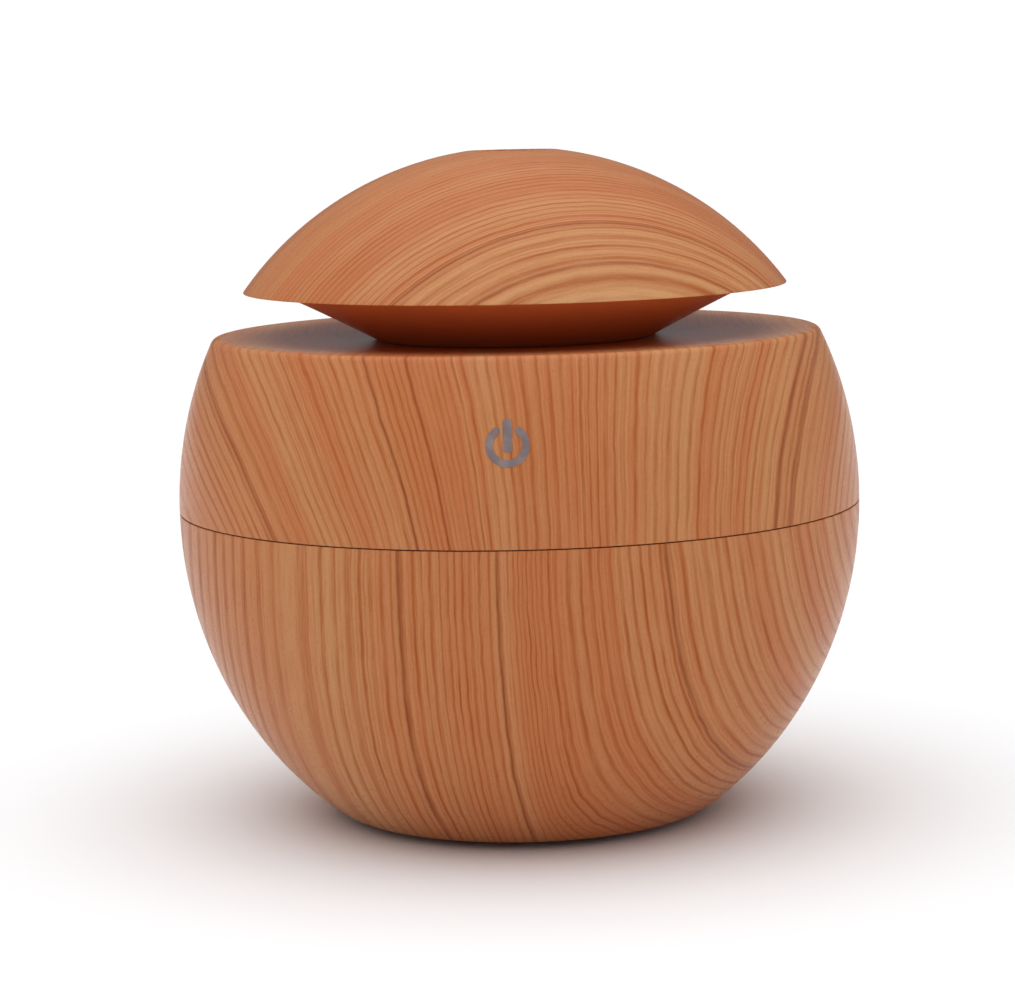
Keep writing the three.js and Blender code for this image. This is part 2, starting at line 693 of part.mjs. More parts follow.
function addFan() {
  const bearingBase = fanBottom + fanPlate + gap;
  const bearing = ring(shaftRadius + runningGap, bearingOuter, bearingBase, bearingBase + bearingLength);
  const stator = ring(bearingOuter + bearingTube + 2 * gap, fanHubRadius - rotorWall - gap,
    bearingBase + statorLift, bearingBase + statorLift + statorHeight);
  const shaftEnd = fanTop - rotorDrop - rotorRoof - gap;
  const shaft = rod(shaftRadius, bearingBase, shaftEnd, [0, 0], medium);
  place(body, "fan_frame", fanFrame(), black).position.x = fanPlace;
  place(body, "fan_bearing", bearing, bronze).position.x = fanPlace;
  place(body, "fan_stator", stator, copper).position.x = fanPlace;
  place(body, "fan_shaft", shaft, steel).position.x = fanPlace;
  place(body, "fan_rotor", fanRotor(), black).position.x = fanPlace;
}
addFan();

// Funnel that leads the fan's air into the duct of the tank, which may stand a little off the fan
function fanDuct() {
  const half = fanSize / 2;
  const bottom = fanTop + gap;
  const neckInner = ductOuter + gap;
  const neckOuter = neckInner + fanDuctWall;
  const plate = block([-half, -half, bottom], [half, half, fanFlangeTop]);
  const coneTop = ductBottom + gap;
  const neckTop = tankFloorHeight - gap;
  const shiftEnd = coneTop - fanDuctWall / 2;
  const shifted = (shape) => {
    const places = shape.getAttribute("position");
    for (let i = 0; i < places.count; i += 1) {
      const share = THREE.MathUtils.clamp((places.getZ(i) - bottom) / (shiftEnd - bottom), 0, 1);
      places.setX(i, places.getX(i) + share * (ductPlace - fanPlace));
    }
    return shape;
  };
  const funnel = shifted(turned([
    point(0, bottom),
    point(fanBore + fanDuctWall / 2, bottom),
    point(neckOuter, coneTop),
    point(neckOuter, neckTop),
    point(0, neckTop),
  ], medium));
  const hollow = shifted(turned([
    point(0, bottom - 0.01),
    point(fanBore - fanDuctWall / 2, bottom - 0.01),
    point(neckInner, shiftEnd),
    point(neckInner, neckTop + 1),
    point(0, neckTop + 1),
  ], medium));
  const holes = [-1, 1].map((side) =>
    rod(smallScrew.shank + gap, bottom - 1, fanFlangeTop + 1,
      [fanScrewInset - half, side * (half - fanScrewInset)]));
  return carved(plate, [funnel], [hollow, ...holes]);
}
place(body, "fan_duct", fanDuct(), ivory).position.x = fanPlace;
const fanScrew = { ...smallScrew, length: fanThickness + fanDuctWall + 3.2 };
fanScrews.forEach((at, i) => addScrew(`fan_screw_${i + 1}`, fanScrew, at, fanBottom - gap));

// ---------------------------------------------------------------- lamps under the tank
function ledBoard() {
  const from = radians(100);
  const to = radians(260);
  const outline = new THREE.Shape();
  outline.absarc(0, 0, ledBoardInner + ledBoardWidth, from, to);
  outline.absarc(0, 0, ledBoardInner, to, from, true);
  ledScrewAngles.forEach((angle) => {
    const hole = new THREE.Path();
    hole.absarc(...polar(ledScrewPlace, angle), smallScrew.shank + gap, 0, 2 * Math.PI);
    outline.holes.push(hole);
  });
  const options = { depth: smallBoardThickness, bevelEnabled: false, curveSegments: 10 };
  return new THREE.ExtrudeGeometry(outline, options).translate(0, 0, ledBoardHeight);
}
place(body, "led_board", ledBoard(), whiteBoard);
for (let i = 0; i < ledCount; i += 1) {
  const [x, y] = polar(ledScrewPlace, 110 + (140 * i) / (ledCount - 1));
  const bottom = ledBoardTop + gap;
  const lamp = block([-ledSize / 2, -ledSize / 2, bottom], [ledSize / 2, ledSize / 2, bottom + ledSize / 2]);
  place(body, `led_${i + 1}`, lamp, ledLens).position.set(x, y, 0);
}
ledScrewAngles.forEach((angle, i) =>
  addScrew(`led_screw_${i + 1}`, smallScrew, polar(ledScrewPlace, angle), ledBoardHeight - gap));

// ---------------------------------------------------------------- base cover and feet
function baseCover() {
  const disc = rod(coverRadius, coverHeight, coverTop, [0, 0], fine);
  const pillarTop = mainBoardHeight - gap;
  const added = [
    ...legAngles.map((angle) => rod(footRadius - 0.1, coverHeight + 1, wellHeight, polar(legPlace, angle))),
    ...pillarAngles.map((angle) => rod(2.3, coverHeight + 1, pillarTop, polar(pillarPlace, angle))),
  ];
  const recessTop = coverHeight + footRecess;
  const headRoom = recessTop + gap + bigScrew.headHeight + gap;
  const removed = [];
  legAngles.forEach((angle) => {
    const at = polar(legPlace, angle);
    removed.push(rod(footRadius + gap, coverHeight - 1, recessTop, at, medium));
    removed.push(rod(bigScrew.head + gap, coverHeight - 1, headRoom, at));
    removed.push(rod(bigScrew.shank + gap, coverHeight, wellHeight + 1, at));
  });
  pillarAngles.forEach((angle) =>
    removed.push(rod(smallScrew.shank + gap, coverTop + 2, pillarTop + 1, polar(pillarPlace, angle), 12)));
  const rows = Math.floor(slotField / slotPitch);
  for (let row = -rows; row <= rows; row += 1) {
    const y = row * slotPitch;
    const half = Math.sqrt(slotField ** 2 - y ** 2);
    removed.push(block([-half, y - slotWidth / 2, coverHeight - 1], [half, y + slotWidth / 2, coverTop + 1]));
  }
  return carved(disc, added, removed);
}
place(body, "base_cover", baseCover(), black);

legAngles.forEach((angle, i) => {
  const at = polar(legPlace, angle);
  const headUnderside = coverHeight + footRecess + gap + bigScrew.headHeight;
  addScrew(`housing_screw_${i + 1}`, bigScrew, at, headUnderside);
  place(body, `foot_${i + 1}`, rod(footRadius, 0, footThickness, at, medium), rubber);
});

// ---------------------------------------------------------------- main board
const boardTop = mainBoardHeight + boardThickness;
const partBase = boardTop + gap;

function mainBoard() {
  const disc = rod(mainBoardRadius, mainBoardHeight, boardTop, [0, 0], medium);
  const tabEnd = socketBack - socketLength + socketTailOnBoard;
  const tab = block([-mainBoardTabWidth / 2, 0, mainBoardHeight], [mainBoardTabWidth / 2, tabEnd, boardTop]);
  const hole = (radius, at) => rod(radius, mainBoardHeight - 1, boardTop + 1, at);
  const removed = [
    ...legAngles.map((angle) => hole(legRadius + 2 * gap, polar(legPlace, angle))),
    ...pillarAngles.map((angle) => hole(smallScrew.shank + gap, polar(pillarPlace, angle))),
  ];
  return carved(disc, [tab], removed);
}
place(body, "main_board", mainBoard(), board);
pillarAngles.forEach((angle, i) =>
  addScrew(`board_screw_${i + 1}`, smallScrew, polar(pillarPlace, angle), boardTop + gap, true));

const noseEnd = outerAt(socketHeight - socketNose) - socketRecess;

function dcSocket() {
  const front = socketBack - socketLength;
  const low = socketHeight - socketSize / 2;
  const high = socketHeight + socketSize / 2;
  const shell = block([-socketSize / 2, front, low], [socketSize / 2, socketBack, high]);
  const nose = rodAlongY(socketNose, socketBack - 1, noseEnd, 0, socketHeight, medium);
  const bore = rodAlongY(socketBore, noseEnd - socketBoreDepth, noseEnd + 1, 0, socketHeight, medium);
  return carved(shell, [nose], [bore]);
}
const pinBase = noseEnd - socketBoreDepth + gap;
const socketPin = rodAlongY(socketPinRadius, pinBase, noseEnd - 1, 0, socketHeight, small);
place(body, "dc_socket", dcSocket(), black);
place(body, "socket_pin", socketPin, steel);

const chip = block([-4, -2.5, partBase], [4, 2.5, partBase + 1.6]);
place(body, "driver_chip", chip, black).position.set(-1, -16, 0);
const coil = ring(1.4, 3.4, partBase, partBase + 4.6);
place(body, "inductor", coil, copper).position.set(-13.2, 11.5, 0);
const can = rod(3, partBase, partBase + 6.5, [0, 0], medium);
place(body, "capacitor", can, steel).position.set(-4, 17, 0);

// ---------------------------------------------------------------- touch key
function touchBoard() {
  const half = keyBoardWidth / 2;
  const plate = block([-half, keyBoardFace, keyHeight - keyBoardHeight / 2],
    [half, keyBoardFace + smallBoardThickness, keyHeight + keyBoardHeight / 2]);
  const holes = [-keyScrewPlace, keyScrewPlace].map((x) =>
    rodAlongY(smallScrew.shank + gap, keyBoardFace - 1, keyBoardFace + 2, x, keyHeight, small));
  return carved(plate, [], holes);
}
place(body, "touch_board", touchBoard(), board);

[-keyScrewPlace, keyScrewPlace].forEach((x, i) => {
  const mesh = place(body, `touch_screw_${i + 1}`, screw({ ...smallScrew, length: 3.4 }), steel);
  mesh.position.set(x, keyBoardFace + smallBoardThickness + gap, keyHeight);
  mesh.rotation.x = Math.PI / 2;
});

class Helix extends THREE.Curve {
  constructor(radius, length, turns) {
    super();
    Object.assign(this, { radius, length, turns });
  }

  getPoint(t) {
    const angle = 2 * Math.PI * this.turns * t;
    return new THREE.Vector3(this.radius * Math.cos(angle), -this.length * t, this.radius * Math.sin(angle));
  }
}

// A round wire or lead along a path
function wire(path, radius, steps, sides) {
  const section = new THREE.Shape();
  section.absarc(0, 0, radius, 0, 2 * Math.PI);
  return new THREE.ExtrudeGeometry(section, {
    extrudePath: path,
    steps,
    curveSegments: sides,
    bevelEnabled: false,
  });
}

const springRoom = innerAt(keyHeight + springRadius) + keyBoardFace;
const springReach = springRoom - 2 * (gap + springWire) - springClearance;
const spring = wire(new Helix(springRadius, springReach, springTurns), springWire, 24, 4);
place(body, "touch_spring", spring, steel).position.set(0, keyBoardFace - gap - springWire, keyHeight);

// ---------------------------------------------------------------- leads inside the housing
// Each lead ends square on the main board at the place given last
function addLead(name, points, [endX, endY], material) {
  const drop = [4, 2, 0].map((height) => [endX, endY, partBase + height]);
  const path = new THREE.CatmullRomCurve3([...points, ...drop].map((at) => new THREE.Vector3(...at)));
  place(body, name, wire(path, leadRadius, 10, 3), material);
}
const keyBoardLow = keyHeight - keyBoardHeight / 2 - gap;
const keyLeadY = keyBoardFace + smallBoardThickness / 2;
addLead("touch_lead", [
  [0, keyLeadY, keyBoardLow],
  [0, keyLeadY, keyBoardLow - 9],
  [0, keyLeadY + 2.5, 30],
  [0, -33, 19.5],
  [0, -24, 17.5],
], [2, -20], black);
addLead("atomiser_lead", [
  [0, 0, discBottom - gap],
  [0, -1, clampBottom - 4],
], [-3, -6], brass);
addLead("fan_lead", [
  [fanPlace - 3, fanSize / 2 + gap + leadRadius, fanBottom + 2],
  [20, fanSize / 2 + 3.5, 18.5],
], [13, 8.5], copper);
addLead("led_lead", [
  [-26, -4, ledBoardHeight - gap],
  [-25.5, -6, 21],
], [-16, -9], ivory);

export default diffuser;
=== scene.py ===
"""Looks of the essential oil diffuser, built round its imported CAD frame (Blender 4.5)."""
import json
import math

import bmesh
import bpy
from mathutils import Matrix, Vector


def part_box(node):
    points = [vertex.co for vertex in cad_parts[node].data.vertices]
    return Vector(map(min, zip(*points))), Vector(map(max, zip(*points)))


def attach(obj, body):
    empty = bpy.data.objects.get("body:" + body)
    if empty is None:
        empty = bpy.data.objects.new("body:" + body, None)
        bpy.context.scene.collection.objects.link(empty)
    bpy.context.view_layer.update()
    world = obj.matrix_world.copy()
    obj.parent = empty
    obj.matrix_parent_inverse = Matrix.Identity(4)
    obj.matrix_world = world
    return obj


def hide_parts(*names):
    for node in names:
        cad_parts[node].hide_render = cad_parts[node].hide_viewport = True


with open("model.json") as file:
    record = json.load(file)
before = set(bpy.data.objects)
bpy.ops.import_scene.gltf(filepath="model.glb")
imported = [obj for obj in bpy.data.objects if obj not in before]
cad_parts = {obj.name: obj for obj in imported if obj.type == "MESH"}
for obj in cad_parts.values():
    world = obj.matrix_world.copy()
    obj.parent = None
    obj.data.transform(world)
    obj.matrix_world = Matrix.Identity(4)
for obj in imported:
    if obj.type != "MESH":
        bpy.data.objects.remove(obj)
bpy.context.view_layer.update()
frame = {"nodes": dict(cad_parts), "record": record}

MM = 0.001
ROUND = 224                       # segments of the large turned pieces
SHARP_ANGLE = math.radians(32)    # edges sharper than this are shaded as edges

# ---------------------------------------------------------------- sizes from the frame, in mm
def node_box(name):
    low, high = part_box(name)
    return [value / MM for value in low], [value / MM for value in high]


LOWER_LOW, LOWER_HIGH = node_box("lower_housing")
_, UPPER_HIGH = node_box("upper_housing")
DOME_LOW, DOME_HIGH = node_box("cap_dome")
SKIRT_LOW, _ = node_box("cap_skirt")
TUBE_LOW, TUBE_HIGH = node_box("mist_tube")
COVER_LOW, COVER_HIGH = node_box("base_cover")
SOCKET_LOW, SOCKET_HIGH = node_box("dc_socket")

GAP = 0.3                         # clearance between neighbours
WALL = 2.0                        # of the two housings
TONGUE_WALL = 1.65                # of the tongue that steps down inside the bowl
TONGUE_DEPTH = 3.0
BODY_RADIUS = LOWER_HIGH[0]
BODY_MIDDLE = 47.0                # height of the widest section
BOWL_HALF = 55.5                  # vertical half axis of the bowl's ellipse
SEAM_LOW = LOWER_HIGH[2]
SEAM_HIGH = SEAM_LOW + GAP
DECK = UPPER_HIGH[2]
DECK_RADIUS = 45.2
DECK_THICK = 2.2
DECK_DISH = 0.9                   # the deck falls this much towards the mouth
UPPER_HALF = (DECK - BODY_MIDDLE) / math.sqrt(1 - (DECK_RADIUS / BODY_RADIUS) ** 2)
MOUTH_RADIUS = 19.3               # of the hole in the deck
RIM_RADIUS = DOME_HIGH[0]
RIM_HEIGHT = DOME_LOW[2]
OUTLET_HEIGHT = DOME_HIGH[2]
OUTLET_RADIUS = 6.2
DOME_WALL = 1.9
NECK_RADIUS = 20.8                # of the skirt where it sits on the deck
SPIGOT_RADIUS = MOUTH_RADIUS - 0.7
SEAL_GROOVE = 0.9                 # depth of the groove for the spigot's silicone ring
KEY_HEIGHT = 60.9                 # middle of the printed key
SEAM_CLOSING = 0.08               # the moulded edges stand this much closer than the plain solids
SEAM_ROUNDING = 0.32

FRONT_LIGHT = 0.29                # brightness of the white tent round the object
SIDE_LIGHT = 0.56
BACK_SHARE = 0.38                 # of that, what is left straight behind the object
TOP_LIGHT = 1.10
PAPER_WHITE = 1.05                # of the background where it is seen directly


def body_radius(height, depth):
    """Radius of the housings at a height, at a depth under their outside."""
    half = UPPER_HALF if height > BODY_MIDDLE else BOWL_HALF
    return (BODY_RADIUS - depth) * math.sqrt(1 - ((height - BODY_MIDDLE) / (half - depth)) ** 2)


def outer_at(height):
    return body_radius(height, 0)


def inner_at(height):
    return body_radius(height, WALL)


# ---------------------------------------------------------------- mesh helpers
def shade(mesh):
    """Smooth shading with the sharp edges kept."""
    work = bmesh.new()
    work.from_mesh(mesh)
    for face in work.faces:
        face.smooth = True
    for edge in work.edges:
        edge.smooth = not (len(edge.link_faces) == 2 and edge.calc_face_angle() > SHARP_ANGLE)
    work.to_mesh(mesh)
    work.free()


def add_object(name, mesh, material):
    piece = bpy.data.objects.new(name, mesh)
    bpy.context.scene.collection.objects.link(piece)
    mesh.materials.append(material)
    return piece


def from_bmesh(name, work, material):
    bmesh.ops.remove_doubles(work, verts=work.verts, dist=1e-7)
    bmesh.ops.recalc_face_normals(work, faces=work.faces)
    mesh = bpy.data.meshes.new(name)
    work.to_mesh(mesh)
    work.free()
    shade(mesh)
    return add_object(name, mesh, material)


def rounded(points, steps=4):
    """Closed outline of (radius, height, rounding) corners, each rounded by an arc-like curve."""
    outline = []
    count = len(points)
    for i, (r, z, size) in enumerate(points):
        here = Vector((r, z))
        before = Vector(points[i - 1][:2])
        after = Vector(points[(i + 1) % count][:2])
        if size <= 0:
            outline.append(here)
            continue
        reach = min(size, (before - here).length * 0.45, (after - here).length * 0.45)
        start = here + (before - here).normalized() * reach
        end = here + (after - here).normalized() * reach
        for k in range(steps + 1):
            t = k / steps
            outline.append(start * (1 - t) ** 2 + here * 2 * t * (1 - t) + end * t ** 2)
    return outline


def revolve(outline, segments=ROUND):
    """A closed solid of revolution about Z from an outline in mm."""
    work = bmesh.new()
    rings = []
    for r, z in outline:
        ring = []
        for k in range(segments):
            angle = 2 * math.pi * k / segments
            ring.append(work.verts.new((r * MM * math.cos(angle), r * MM * math.sin(angle), z * MM)))
        rings.append(ring)
    for i, ring in enumerate(rings):
        above = rings[(i + 1) % len(rings)]
        for k in range(segments):
            j = (k + 1) % segments
            work.faces.new((ring[k], ring[j], above[j], above[k]))
    return work


def curve_points(radius_at, start, end, steps):
    """Sharp outline points on a wall given by its radius at each height."""
    heights = [start + (end - start) * i / steps for i in range(steps + 1)]
    return [(radius_at(height), height, 0) for height in heights]


def bore_along_y(piece, radius, middle, length):
    """Cuts a round hole along Y through a piece; sizes in mm."""
    turn = Matrix.Rotation(math.pi / 2, 4, "X")
    work = bmesh.new()
    bmesh.ops.create_cone(work, cap_ends=True, segments=64, radius1=radius * MM, radius2=radius * MM,
                          depth=length * MM, matrix=Matrix.Translation(Vector(middle) * MM) @ turn)
    mesh = bpy.data.meshes.new("cutter")
    work.to_mesh(mesh)
    work.free()
    cutter = bpy.data.objects.new("cutter", mesh)
    bpy.context.scene.collection.objects.link(cutter)
    modifier = piece.modifiers.new("cut", "BOOLEAN")
    modifier.operation = "DIFFERENCE"
    modifier.solver = "EXACT"
    modifier.object = cutter
    bpy.context.view_layer.objects.active = piece
    bpy.ops.object.modifier_apply(modifier=modifier.name)
    bpy.data.objects.remove(cutter)
    shade(piece.data)


# ---------------------------------------------------------------- node helpers
class Nodes:
    """Builds one material's node tree with short calls."""

    def __init__(self, name):
        self.material = bpy.data.materials.new(name)
        self.material.use_nodes = True
        self.tree = self.material.node_tree
        self.shader = self.tree.nodes["Principled BSDF"]
        self.coords = self.add("ShaderNodeTexCoord").outputs["Object"]

    def add(self, kind, **settings):
        node = self.tree.nodes.new(kind)
        for key, value in settings.items():
            setattr(node, key, value)
        return node

    def feed(self, socket, value):
        if isinstance(value, bpy.types.NodeSocket):
            self.tree.links.new(value, socket)
        else:
            socket.default_value = value

    def math(self, operation, a, b=0.0, c=0.0, clamp=False):
        node = self.add("ShaderNodeMath", operation=operation, use_clamp=clamp)
        for socket, value in zip(node.inputs, (a, b, c)):
            self.feed(socket, value)
        return node.outputs[0]

    def millimetres(self):
        """The object's own x, y and z in mm."""
        split = self.add("ShaderNodeSeparateXYZ")
        self.feed(split.inputs[0], self.coords)
        return [self.math("MULTIPLY", out, 1 / MM) for out in split.outputs]

    def total(self, *terms):
        result = terms[0]
        for term in terms[1:]:
            result = self.math("ADD", result, term)
        return result

    def product(self, *factors):
        result = factors[0]
        for factor in factors[1:]:
            result = self.math("MULTIPLY", result, factor)
        return result

    def blend(self, factor, low, high):
        return self.math("MULTIPLY_ADD", self.math("SUBTRACT", high, low), factor, low)

    def ramp(self, value, low, high, to_low=0.0, to_high=1.0, smooth=True):
        node = self.add("ShaderNodeMapRange", interpolation_type="SMOOTHSTEP" if smooth else "LINEAR")
        for socket, item in zip(node.inputs, (value, low, high, to_low, to_high)):
            self.feed(socket, item)
        return node.outputs[0]

    def vector(self, x, y, z=0.0):
        node = self.add("ShaderNodeCombineXYZ")
        for socket, value in zip(node.inputs, (x, y, z)):
            self.feed(socket, value)
        return node.outputs[0]

    def noise(self, vector, scale, detail=2.0, roughness=0.5):
        node = self.add("ShaderNodeTexNoise")
        self.feed(node.inputs["Vector"], vector)
        node.inputs["Scale"].default_value = scale
        node.inputs["Detail"].default_value = detail
        node.inputs["Roughness"].default_value = roughness
        return node.outputs[0]

    def noise_1d(self, value, scale, detail=1.0):
        node = self.add("ShaderNodeTexNoise", noise_dimensions="1D")
        self.feed(node.inputs["W"], value)
        node.inputs["Scale"].default_value = scale
        node.inputs["Detail"].default_value = detail
        return node.outputs[0]

    def random(self, value):
        node = self.add("ShaderNodeTexWhiteNoise", noise_dimensions="1D")
        self.feed(node.inputs["W"], value)
        return node.outputs["Value"]

    def mix(self, factor, low, high):
        node = self.add("ShaderNodeMix", data_type="RGBA")
        self.feed(node.inputs[0], factor)
        for socket, value in ((node.inputs[6], low), (node.inputs[7], high)):
            self.feed(socket, value if isinstance(value, bpy.types.NodeSocket) else (*value, 1.0))
        return node.outputs[2]

    def bump(self, height, distance, strength=1.0):
        node = self.add("ShaderNodeBump")
        node.inputs["Strength"].default_value = strength
        node.inputs["Distance"].default_value = distance
        self.feed(node.inputs["Height"], height)
        self.feed(self.shader.inputs["Normal"], node.outputs[0])

    def finish(self, color, roughness, **constants):
        self.feed(self.shader.inputs["Base Color"], color)
        self.feed(self.shader.inputs["Roughness"], roughness)
        for name, value in constants.items():
            self.shader.inputs[name.replace("_", " ")].default_value = value
        return self.material


def linear(red, green, blue):
    """An 8-bit display colour as scene-linear values."""
    def channel(value):
        value /= 255
        return value / 12.92 if value <= 0.04045 else ((value + 0.055) / 1.055) ** 2.4
    return tuple(channel(value) for value in (red, green, blue))


# ---------------------------------------------------------------- printed wood grain
PRINT_TURN = math.radians(1.66)   # the printed film is turned a little about the axis
TAN_WOOD = linear(201, 149, 101)
PINK_WOOD = linear(194, 120, 76)
RING_WOOD = linear(156, 72, 18)
VEIN_WOOD = linear(132, 53, 10)


def film_axes(n):
    """Position in mm in the turned frame of the film: across, along, height and radius."""
    x, y, z = n.millimetres()
    cosine, sine = math.cos(PRINT_TURN), math.sin(PRINT_TURN)
    across = n.total(n.product(x, cosine), n.product(y, sine))
    along = n.total(n.product(y, cosine), n.product(x, -sine))
    radius = n.math("SQRT", n.total(n.product(x, x), n.product(y, y)))
    return across, along, z, n.math("MAXIMUM", radius, 0.1)


def stretched(n, sine, share, left, right):
    """How far the film is stretched at a share of the wall's height, more to one side than the other."""
    side = n.ramp(sine, -0.35, 0.45)
    linear_part = n.product(n.blend(side, left[0], right[0]), share)
    square_part = n.product(n.blend(side, left[1], right[1]), share, share)
    return n.math("SUBTRACT", n.math("SUBTRACT", 1.0, linear_part), square_part)


def bowl_film(n):
    """The film over the bowl: pulled together towards its foot, most on the right."""
    across, _, z, radius = film_axes(n)
    share = n.math("DIVIDE", n.math("SUBTRACT", SEAM_LOW, z), SEAM_LOW, clamp=True)
    sine = n.math("DIVIDE", across, radius)
    pull = stretched(n, sine, share, (0.03, 0.34), (0.20, 0.55))
    drift = n.product(n.math("POWER", share, 3.0), -0.085)
    return n.product(n.total(n.product(sine, pull), drift), BODY_RADIUS), z, 1.0


def upper_film(n):
    """The film over the upper housing: pulled together towards the deck, and faint on the deck."""
    across, along, z, radius = film_axes(n)
    share = n.math("DIVIDE", n.math("SUBTRACT", z, SEAM_HIGH), DECK - SEAM_HIGH, clamp=True)
    sine = n.math("DIVIDE", across, radius)
    pull = stretched(n, sine, share, (0.29, 0.04), (0.12, 0.18))
    inward = n.math("MINIMUM", n.math("DIVIDE", radius, outer_at(DECK) - 1), 1.0)
    drift = n.product(share, 0.044)
    along_deck = n.total(z, n.product(n.math("SUBTRACT", 1.0, inward), along))
    strength = n.ramp(radius, DECK_RADIUS - 1.8, DECK_RADIUS - 0.3, 0.35, 1.0)
    return n.product(n.total(n.product(sine, pull, inward), drift), BODY_RADIUS), along_deck, strength


def dome_film(n):
    """The film over the cap: wide arches that lean to one side."""
    across, along, _, _ = film_axes(n)
    lean = math.radians(18.2)
    bend = n.product(across, across, -0.00194)
    straight = n.total(along, n.product(across, -math.tan(lean)), bend)
    return n.product(straight, math.cos(lean)), across, 1.0


def ring_phase(n, place, pitch, waves, tight):
    """Counts growth rings across the film, with its swings, its tight bands and some chance."""
    phase = n.product(place, 1 / pitch)
    for size, length, offset in waves:
        swing = n.math("SINE", n.total(n.product(place, 2 * math.pi / length), offset))
        phase = n.total(phase, n.product(swing, size))
    for start, end, extra in tight:
        phase = n.total(phase, n.ramp(place, start, end, 0.0, extra))
    return n.total(phase, n.product(n.noise_1d(place, 0.14, 2.0), 1.6))


def ring_lines(n, phase, seed):
    """A dark line of late wood in each ring, each with its own weight and place."""
    ring = n.math("FLOOR", n.math("ADD", phase, seed))
    share = n.math("FRACT", n.math("ADD", phase, seed))
    weight = n.ramp(n.random(ring), 0.0, 1.0, 0.50, 1.0, smooth=False)
    peak = n.ramp(n.random(n.total(ring, 91.7)), 0.0, 1.0, 0.60, 0.74, smooth=False)
    rise = n.ramp(share, n.math("SUBTRACT", peak, 0.40), peak)
    fall = n.ramp(share, peak, n.math("ADD", peak, 0.24), 1.0, 0.0)
    return n.product(n.math("POWER", rise, 1.2), fall, weight), ring


def veins(n, place, accents):
    """A few heavier rings at chosen places."""
    heavy = 0.0
    for position, width in accents:
        offset = n.math("DIVIDE", n.math("SUBTRACT", place, position), width)
        bell = n.math("EXPONENT", n.product(offset, offset, -1.0))
        heavy = n.math("ADD", heavy, bell)
    return n.math("MINIMUM", heavy, 1.0)


def wandering(n, across):
    """The place across the grain once the rings wander slowly and finely, less where they lie flat."""
    wobble = n.math("SUBTRACT", n.noise(n.coords, 38, 2.0, 0.45), 0.5)
    fine_wobble = n.math("SUBTRACT", n.noise(n.coords, 230, 2.0), 0.5)
    wander = n.total(n.product(wobble, 1.3), n.product(fine_wobble, 0.42))
    turned_away = n.math("MINIMUM", n.math("POWER", n.product(across, 1 / BODY_RADIUS), 2.0), 0.97)
    steep = n.math("SQRT", n.math("SUBTRACT", 1.0, turned_away))
    return n.total(across, n.product(wander, steep))


def density(n, place, tight):
    """Extra rings per mm at a place: narrow rings make the wood redder."""
    dense = 0.0
    for start, end, extra in tight:
        offset = n.product(n.math("SUBTRACT", place, (start + end) / 2), 2 / (end - start))
        bell = n.math("EXPONENT", n.product(offset, offset, -1.0))
        dense = n.math("MULTIPLY_ADD", bell, extra / (end - start), dense)
    return dense


def early_wood(n, place, ring, band, dense):
    """The pale wood between the lines, from tan to pink by ring, by band and in soft clouds."""
    cloud = n.noise(n.coords, 24, 2.0, 0.5)
    ring_share = n.product(n.random(n.total(ring, 17.3)), 0.40)
    pinkness = n.total(ring_share, n.product(band, 0.9), dense, -0.26)
    return n.mix(n.math("MULTIPLY_ADD", cloud, 0.5, pinkness, clamp=True), TAN_WOOD, PINK_WOOD)


def film_relief(n, line, strength):
    """The lines lie a little deep in the lacquer, which has a faint orange peel; none on the deck."""
    peel = n.noise(n.coords, 900, 2.0)
    textured = n.ramp(strength, 0.4, 0.9)
    relief = n.total(n.product(line, -0.30), n.product(peel, 0.06))
    n.bump(n.product(relief, textured), 0.02 * MM, 0.2)
    worn = n.total(n.ramp(peel, 0.3, 0.7, 0.0, 0.06), n.product(line, 0.05))
    return n.total(n.blend(strength, 0.10, 0.27), n.product(worn, textured))


